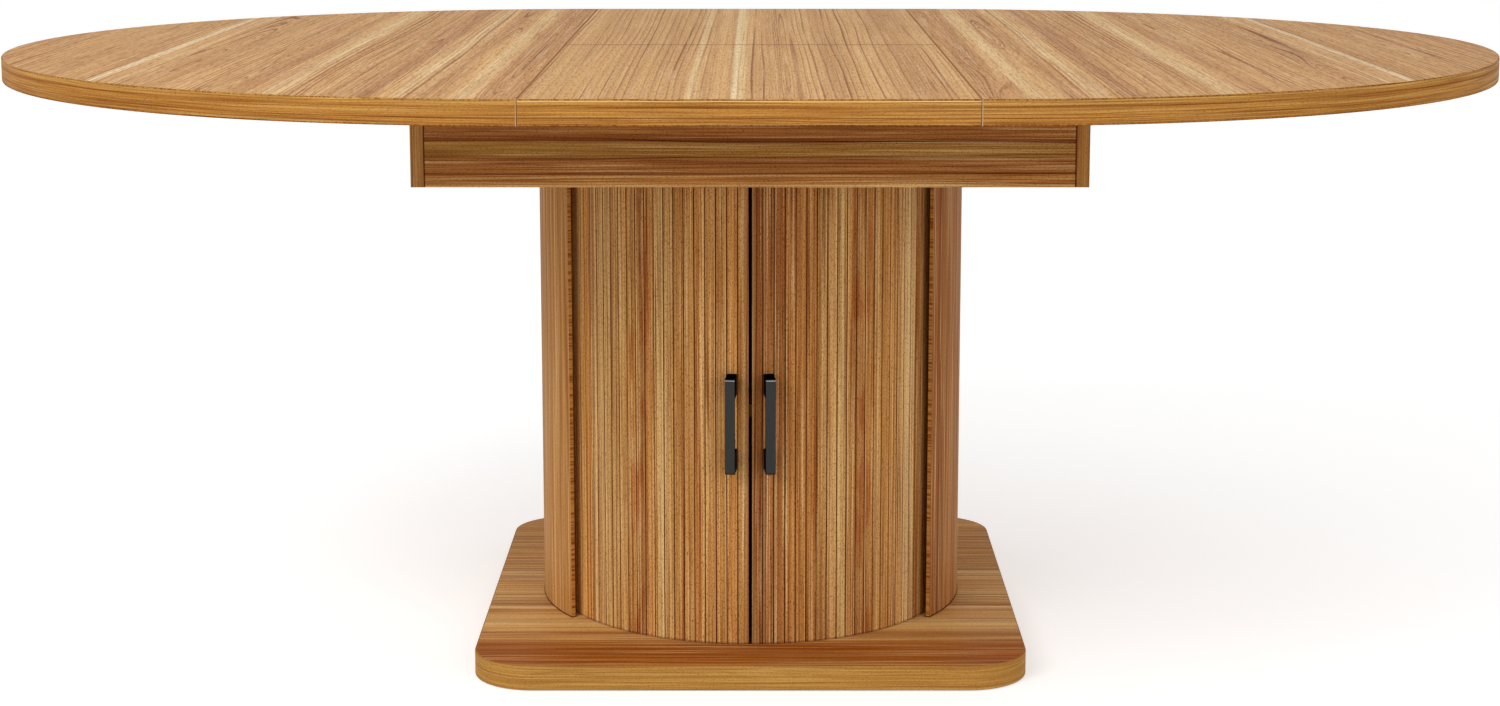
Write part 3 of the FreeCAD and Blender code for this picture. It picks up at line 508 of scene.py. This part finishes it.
def base_band():
    """The edge band round the base plate."""
    material, tree = new_material("walnut_print_edge_band_base")
    place, parts = measured(tree)
    lanes = [(1, "plain"), (8, "honey"), (11, "plain"), (13, "honey"), (18, "plain"), (24, "honey"),
             (31, "plain")]
    colour, relief = wood_print(tree, place, parts["Z"], (X, Y), lanes, seed=23.0,
                                tint=(0.74, 0.70, 0.44), spacing=4.0, stray=9.0, swirl_size=(24, 300),
                                ring=0.4, flames=((20, 7),), wander=1.0, grains=(edge_grain,))
    satin_face(tree, colour, relief)
    return material


def carcass():
    """Plain walnut-print melamine inside the cabinet and the leaf store."""
    material, tree = new_material("walnut_print_melamine_carcass")
    place, parts = measured(tree)
    lanes = [(-400, "plain"), (0, "honey"), (400, "plain")]
    colour, relief = wood_print(tree, place, parts["X"], (Z,), lanes, seed=29.0, tint=(0.92, 0.90, 0.80),
                                light=0.2)
    satin_face(tree, colour, relief)
    return material


def plywood():
    """Bare birch plywood of the door battens: pale flat grain, 1.4 mm plies on the edges."""
    material, tree = new_material("bare_birch_plywood")
    place = add(tree, "TexCoord").outputs["Object"]
    plies = drawn_noise(tree, place, (X, Z), 1.4, 300, seed=51.0, low=0.45, high=0.55)
    grain = drawn_noise(tree, place, (Z,), 4.0, 260, seed=53.0)
    colour = covered(tree, linear("#cdb083"), plies, 1.0, linear("#b08a58"))
    colour = shaded(tree, colour, grain, 0.35, top_shade)
    satin_face(tree, colour, grain, rough=0.7)
    return material


# ---- Hardware finishes -----------------------------------------------------------
streak_squeeze = 0.03                                 # width of a streak in bare metal over its length
canvas_thread = 0.8 * MM


def black_nickel():
    """Black nickel plate on die-cast zinc, lightly brushed: a dark satin mirror that goes black where it
    is seen edge on, with a painted highlight along the upper bend."""
    material, tree = new_material("black_nickel_plate")
    place, parts = measured(tree)
    brushing = drawn_noise(tree, place, (Z,), 0.5, 30, seed=71.0, detail=3.0)
    rough = add(tree, "MapRange", {"Value": brushing, "To Min": 0.22, "To Max": 0.30}).outputs[0]
    bump = add(tree, "Bump", {"Strength": 0.1, "Distance": 0.1 * MM, "Height": brushing}).outputs[0]
    tint = covered(tree, linear("#2f2f2e"), brushing, 1.0, linear("#343433"))
    # A painted highlight: a pale line along the upper bend's outer edge.
    bend = within(tree, parts["Z"], handle_top - 2.9 * MM, handle_top - 2.5 * MM, 0.2 * MM)
    outer = within(tree, reach_from(tree, place, door_centre_y), handle_reach - 1.5 * MM, 1.0, 0.5 * MM)
    tint = covered(tree, tint, overlap(tree, bend, outer), 1.0, linear("#b9b9ba"))
    surface(tree, Base_Color=tint, Metallic=1.0, Roughness=rough, Normal=bump,
            Specular_Tint=(0.02, 0.02, 0.02, 1.0))
    return material


def metal(name, colour, rough, grit, along):
    """Bare metal with drawn or rolled streaks, grit mm wide and running along one axis."""
    material, tree = new_material(name)
    place = add(tree, "TexCoord").outputs["Object"]
    scale = [1.0, 1.0, 1.0]
    scale[along] = streak_squeeze
    grain = add(tree, "Mapping", {"Vector": place, "Scale": scale}).outputs[0]
    streaks = add(tree, "TexNoise", {"Vector": grain, "Scale": 1 / (grit * MM), "Detail": 4.0}).outputs["Fac"]
    roughness = add(tree, "MapRange", {"Value": streaks, "From Min": 0.3, "From Max": 0.7,
                                       "To Min": rough - rough_spread,
                                       "To Max": rough + rough_spread}).outputs[0]
    brightness = add(tree, "MapRange", {"Value": streaks, "To Min": 0.85, "To Max": 1.15}).outputs[0]
    tint = add(tree, "HueSaturation", {"Color": linear(colour), "Value": brightness}).outputs[0]
    bump = add(tree, "Bump", {"Strength": 0.15, "Distance": 0.1 * MM, "Height": streaks}).outputs[0]
    surface(tree, Base_Color=tint, Metallic=1.0, Roughness=roughness, Normal=bump)
    return material


def moulded(name, colour, rough, grit=0.8):
    """Moulded polymer or rubber with a faint spark-eroded texture."""
    material, tree = new_material(name)
    place = add(tree, "TexCoord").outputs["Object"]
    speck = add(tree, "TexNoise", {"Vector": place, "Scale": 1 / (grit * MM), "Detail": 2.0}).outputs["Fac"]
    brightness = add(tree, "MapRange", {"Value": speck, "To Min": 0.88, "To Max": 1.12}).outputs[0]
    tint = add(tree, "HueSaturation", {"Color": linear(colour), "Value": brightness}).outputs[0]
    bump = add(tree, "Bump", {"Strength": 0.2, "Distance": 0.1 * MM, "Height": speck}).outputs[0]
    surface(tree, Base_Color=tint, Roughness=rough, Normal=bump)
    return material


def canvas():
    """Woven cotton backing glued behind the slats, in a plain weave."""
    material, tree = new_material("cotton_canvas")
    place, parts = measured(tree)
    turns = 2 * math.pi / canvas_thread
    waves = []
    for distance in (round_doors(tree, place), parts["Z"]):
        angle = add(tree, "Math", {0: distance, 1: turns}, operation="MULTIPLY").outputs[0]
        waves.append(add(tree, "Math", {0: angle}, operation="SINE").outputs[0])
    weave = overlap(tree, *waves)
    share = add(tree, "MapRange", {"Value": weave, "From Min": -1.0, "From Max": 1.0}).outputs[0]
    tint = covered(tree, linear("#4a3526"), share, 1.0, linear("#6b4f39"))
    bump = add(tree, "Bump", {"Strength": 0.4, "Distance": 0.3 * MM, "Height": weave}).outputs[0]
    surface(tree, Base_Color=tint, Roughness=0.9, Normal=bump)
    return material


def finish_nodes():
    """Gives every CAD node the finish of its real counterpart."""
    sides = ("left", "right")
    doors = [f"{side}_door" for side in sides]
    steel_pieces = ["base_screws", "floor_screws", "rail_screws", "corner_screws", "guide_screws",
                    "shelf_pins"]
    for side in sides:
        steel_pieces += [f"{side}_handle_screws", f"{side}_runner_screws", f"{side}_runner_stops",
                         f"{side}_leaf_rest_screws"]
    finishes = [
        (half_top(), [f"{side}_top_board" for side in sides]),
        (leaf_top(), ["leaf_front_board", "leaf_rear_board"]),
        (top_band(), ["left_top_bands", "right_top_bands", "leaf_front_bands", "leaf_rear_bands"]),
        (door_slats(), [f"{door}_slats" for door in doors]),
        (shell_foil(), ["left_shell", "right_shell", "shell_joint_strip"]),
        (apron_boards(), ["apron_front", "apron_back", "apron_left", "apron_right"]),
        (base_board(), ["base_plate"]),
        (base_band(), ["base_edge_band"]),
        (carcass(), ["left_upright", "right_upright", "cabinet_back", "shelf", "store_floor",
                     "left_cross_rail", "right_cross_rail", "corner_blocks", "left_leaf_rest",
                     "right_leaf_rest"]),
        (plywood(), [f"{door}_batten" for door in doors]),
        (canvas(), [f"{door}_canvas" for door in doors]),
        (black_nickel(), ["left_handle", "right_handle"]),
        (metal("zinc_plated_steel", "#b9bcc0", rough=0.32, grit=0.6, along=Z), steel_pieces),
        (metal("bright_rolled_steel", "#a9abad", rough=0.35, grit=0.8, along=X), ["slide_guides"]),
        (metal("extruded_aluminium", "#c3c5c8", rough=0.34, grit=0.5, along=X),
         [f"{side}_runners" for side in sides]),
        (metal("turned_brass", "#c9a253", rough=0.28, grit=0.4, along=X),
         ["leaf_front_barrels", "leaf_rear_barrels", "leaf_hinge_links"]),
        (moulded("black_nylon", "#2c2b2a", rough=0.5), ["base_glides"]),
        (moulded("grey_nylon", "#8d8d8a", rough=0.45), [f"{side}_leaf_peg" for side in sides]),
        (moulded("black_rubber", "#222121", rough=0.75), ["centre_stops"]),
    ]
    for material, names in finishes:
        for name in names:
            slots = nodes[name].data.materials
            slots.clear()
            slots.append(material)


# ---- Stage, light and camera -----------------------------------------------------
white = (1.0, 1.0, 1.0, 1.0)
floor_size = 60.0
lamp_aim = (0.0, 0.0, 0.4)                            # inside the drum, above its middle
sensor_width = 36.0                                   # mm
camera_lens = 62.87                                   # mm
camera_shift = (-0.0046, -0.06)                       # in sensor widths
camera_place = (0.008, -3.380, 1.020)
camera_tilt = math.radians(9.33)                      # below the horizon


def seen_directly(tree):
    """1 for rays that the camera, a gloss or glass sends out, and 0 for those that light the table."""
    rays = add(tree, "LightPath").outputs
    gloss_or_glass = add(tree, "Math", {0: rays["Is Glossy Ray"], 1: rays["Is Transmission Ray"]},
                         operation="MAXIMUM").outputs[0]
    return add(tree, "Math", {0: rays["Is Camera Ray"], 1: gloss_or_glass}, operation="MAXIMUM").outputs[0]


def pale_floor():
    """A plain pale floor that stays white to the camera and keeps the table's soft shadow."""
    bpy.ops.object.select_all(action="DESELECT")
    bpy.ops.mesh.primitive_plane_add(size=floor_size, location=(0, 0, 0))
    floor = bpy.context.object
    floor.name = "floor"
    material, tree = new_material("pale_floor")
    matt = add(tree, "BsdfDiffuse", {"Color": linear("#d8d8d8")}).outputs[0]
    glow = add(tree, "Emission", {"Color": white, "Strength": 0.5}).outputs[0]
    lit = add(tree, "AddShader", {0: matt, 1: glow}).outputs[0]
    finish = add(tree, "MixShader", {0: seen_directly(tree), 1: matt, 2: lit}).outputs[0]
    add(tree, "OutputMaterial", {"Surface": finish})
    floor.data.materials.append(material)


def white_world():
    """Even pale light all round; white where the camera or a gloss sees it directly."""
    world = bpy.data.worlds.new("studio")
    bpy.context.scene.world = world
    world.use_nodes = True
    tree = world.node_tree
    tree.nodes.clear()
    strength = add(tree, "MapRange", {"Value": seen_directly(tree), "To Min": 0.72, "To Max": 1.0}).outputs[0]
    light = add(tree, "Background", {"Color": white, "Strength": strength}).outputs[0]
    add(tree, "OutputWorld", {"Surface": light})


def soft_lamp(name, place, size, energy):
    """A square soft box that faces the drum."""
    data = bpy.data.lights.new(name, "AREA")
    data.size = size
    data.energy = energy
    lamp = bpy.data.objects.new(name, data)
    bpy.context.scene.collection.objects.link(lamp)
    lamp.location = place
    lamp.rotation_mode = "QUATERNION"
    lamp.rotation_quaternion = (Vector(lamp_aim) - Vector(place)).to_track_quat("-Z", "Y")


def camera():
    """A long lens a little above the top, tilted slightly down."""
    data = bpy.data.cameras.new("camera")
    data.sensor_width = sensor_width
    data.lens = camera_lens
    data.shift_x, data.shift_y = camera_shift
    data.clip_end = 200.0
    eye = bpy.data.objects.new("camera", data)
    bpy.context.scene.collection.objects.link(eye)
    eye.location = camera_place
    eye.rotation_euler = (math.pi / 2 - camera_tilt, 0, 0)
    bpy.context.scene.camera = eye


camera()
white_world()
pale_floor()
soft_lamp("key", place=(-2.3, -2.9, 3.0), size=2.2, energy=95)
soft_lamp("fill", place=(2.0, -3.2, 1.4), size=2.4, energy=32)
finish_nodes()

bpy.context.scene.view_settings.view_transform = "Standard"
